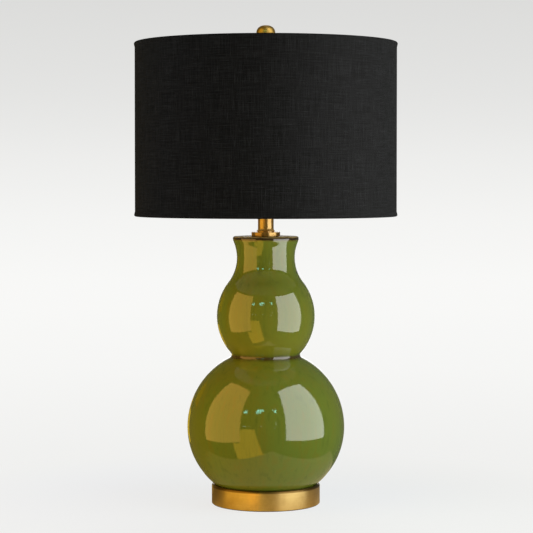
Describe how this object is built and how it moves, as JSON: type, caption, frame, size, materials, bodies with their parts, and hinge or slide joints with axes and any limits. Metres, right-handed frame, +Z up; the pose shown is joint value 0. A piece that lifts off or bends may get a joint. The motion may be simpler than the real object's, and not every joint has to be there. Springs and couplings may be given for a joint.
{
  "type": "double gourd table lamp",
  "caption": "Table lamp: glazed double gourd body on a round brass foot, with a harp, a turn-knob socket, a dark drum shade and a ball finial.",
  "frame": {"origin": "centre of the foot's felt on the table, below the lamp's axis", "axes": "+Z up along the lamp's axis, -Y to the front where the switch knob points, +Y to the cord inlet, harp in the XZ plane"},
  "size_m": [0.4072, 0.407, 0.7406],
  "materials": {
    "glaze": "gloss",
    "satin_brass": "satin",
    "socket_brass": "gloss",
    "harp_brass": "satin",
    "zinc_steel": "satin",
    "felt": "matte",
    "rubber": "matte",
    "shade_cloth": "matte",
    "styrene": "matte",
    "phenolic": "matte",
    "fibre": "matte",
    "knob_plastic": "gloss",
    "bulb_plastic": "matte",
    "cap_metal": "gloss"
  },
  "bodies": {
    "lamp": {"base_felt": "felt", "base_ring": "satin_brass", "cord_bush": "rubber", "foot_gasket": "rubber", "gourd_body": "glaze", "top_gasket": "rubber", "check_ring": "satin_brass", "neck_tube": "satin_brass", "lamp_pipe": "zinc_steel", "pipe_washer": "zinc_steel", "lock_nuts": "zinc_steel", "harp_saddle": "harp_brass", "socket_cap": "socket_brass", "cap_set_screw": "zinc_steel", "socket_shell": "socket_brass", "socket_liner": "fibre", "socket_body": "phenolic", "terminal_screws": "socket_brass", "screw_shell": "cap_metal", "centre_contact": "socket_brass"},
    "switch": {"switch_shaft": "zinc_steel", "switch_knob": "knob_plastic"},
    "harp": {"harp_bow": "harp_brass"},
    "left_ferrule": {"ferrule_left": "harp_brass"},
    "right_ferrule": {"ferrule_right": "harp_brass"},
    "stud": {"harp_stud": "harp_brass"},
    "shade": {"shade_fabric": "shade_cloth", "shade_liner": "styrene", "shade_bottom_ring": "harp_brass", "spider_fitter": "harp_brass"},
    "washer": {"finial_washer": "satin_brass"},
    "finial_knob": {"finial": "satin_brass"},
    "bulb": {"bulb_tip": "cap_metal", "bulb_cap": "cap_metal", "bulb_housing": "bulb_plastic", "bulb_globe": "bulb_plastic"}
  },
  "joints": [
    {"name": "switch_turn", "type": "hinge", "parent": "lamp", "child": "switch", "pos_m": [0, 0, 0.4996], "axis": [0, -1, 0], "continuous": true},
    {"name": "bulb_turn", "type": "hinge", "parent": "lamp", "child": "bulb", "pos_m": [0, 0, 0.53], "axis": [0, 0, 1], "range_deg": [0, 1080]},
    {"name": "harp_lift", "type": "slide", "parent": "lamp", "child": "harp", "axis": [0, 0, 1], "range_m": [0, 0.165]},
    {"name": "left_ferrule_lift", "type": "slide", "parent": "harp", "child": "left_ferrule", "axis": [0, 0, 1], "range_m": [0, 0.013]},
    {"name": "right_ferrule_lift", "type": "slide", "parent": "harp", "child": "right_ferrule", "axis": [0, 0, 1], "range_m": [0, 0.013]},
    {"name": "shade_turn", "type": "hinge", "parent": "harp", "child": "stud", "pos_m": [0, 0, 0.7], "axis": [0, 0, 1], "continuous": true},
    {"name": "shade_lift", "type": "slide", "parent": "stud", "child": "shade", "axis": [0, 0, 1], "range_m": [0, 0.28]},
    {"name": "finial_rise", "type": "slide", "parent": "shade", "child": "washer", "axis": [0, 0, 1], "range_m": [0, 0.00799]},
    {"name": "finial_turn", "type": "hinge", "parent": "washer", "child": "finial_knob", "pos_m": [0, 0, 0.72], "axis": [0, 0, 1], "range_deg": [0, 3060]}
  ],
  "couplings": [
    {"joint": "finial_turn", "follows": "finial_rise", "rad_per_m": 6679}
  ]
}
